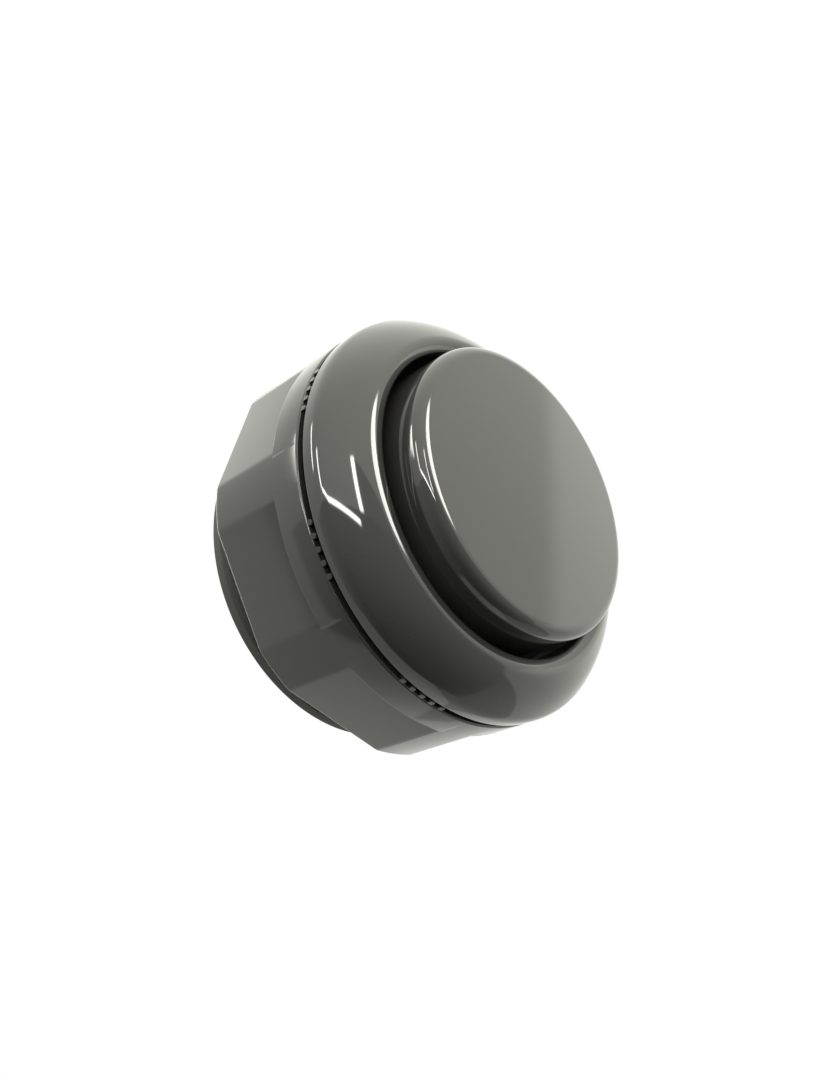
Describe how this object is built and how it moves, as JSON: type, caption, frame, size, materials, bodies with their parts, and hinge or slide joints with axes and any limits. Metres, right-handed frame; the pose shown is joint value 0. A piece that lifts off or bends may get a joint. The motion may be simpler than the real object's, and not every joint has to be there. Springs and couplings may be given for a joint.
{
  "type": "panel push-button",
  "caption": "Round screw-in panel push-button with a flat-topped plunger cap, rounded bezel, threaded barrel, flatted panel nut and lever snap switch.",
  "frame": {"origin": "centre of the bezel's underside, on the panel's front face", "axes": "+Z along the button's axis, out of the panel towards the cap's top; X along the row of terminals"},
  "size_m": [0.0348, 0.0348, 0.0306],
  "materials": {
    "bezel_plastic": "gloss",
    "nut_plastic": "gloss",
    "cap_plastic": "gloss",
    "stem_plastic": "matt",
    "cover_plastic": "satin",
    "switch_plastic": "matt",
    "button_plastic": "satin",
    "spring_steel": "drawn wire",
    "terminal_brass": "tinned brass",
    "contact_silver": "silver alloy"
  },
  "bodies": {
    "housing": {"bezel_barrel": "bezel_plastic", "rear_cover": "cover_plastic", "switch_base": "switch_plastic", "switch_case": "switch_plastic", "lever_pin": "spring_steel", "snap_spring": "spring_steel", "fixed_contact_no": "contact_silver", "fixed_contact_nc": "contact_silver", "terminal_common": "terminal_brass", "terminal_no": "terminal_brass", "terminal_nc": "terminal_brass", "mounting_pin_left": "spring_steel", "mounting_pin_right": "spring_steel", "return_spring": "spring_steel"},
    "plunger": {"plunger_cap": "cap_plastic", "plunger_stem": "stem_plastic"},
    "nut": {"panel_nut": "nut_plastic"},
    "lever": {"switch_lever": "spring_steel"},
    "button": {"switch_button": "button_plastic"},
    "blade": {"contact_blade": "terminal_brass", "moving_contact": "contact_silver"}
  },
  "joints": [
    {"name": "plunger_press", "type": "slide", "parent": "housing", "child": "plunger", "axis": [0, 0, -1], "range_m": [0, 0.003], "stiffness_N_per_m": 220, "springref_m": -0.0025, "deforming": ["return_spring"]},
    {"name": "lever_swing", "type": "hinge", "parent": "housing", "child": "lever", "pos_m": [-0.0086, 0, -0.0091], "axis": [0, 1, 0], "range_deg": [0, 12.45]},
    {"name": "button_press", "type": "slide", "parent": "housing", "child": "button", "axis": [0, 0, -1], "range_m": [0, 0.000735]},
    {"name": "blade_swing", "type": "hinge", "parent": "housing", "child": "blade", "pos_m": [-0.0076, 0, -0.013], "axis": [0, 1, 0], "range_deg": [0, 2]},
    {"name": "nut_unscrew", "type": "slide", "parent": "housing", "child": "nut", "axis": [0, 0, -1], "range_m": [0, 0.013]}
  ],
  "couplings": [
    {"joint": "lever_swing", "follows": "plunger_press", "rad_per_m": 72.373},
    {"joint": "button_press", "follows": "plunger_press", "ratio": 0.244},
    {"joint": "blade_swing", "follows": "plunger_press", "rad_per_m": 11.577}
  ]
}
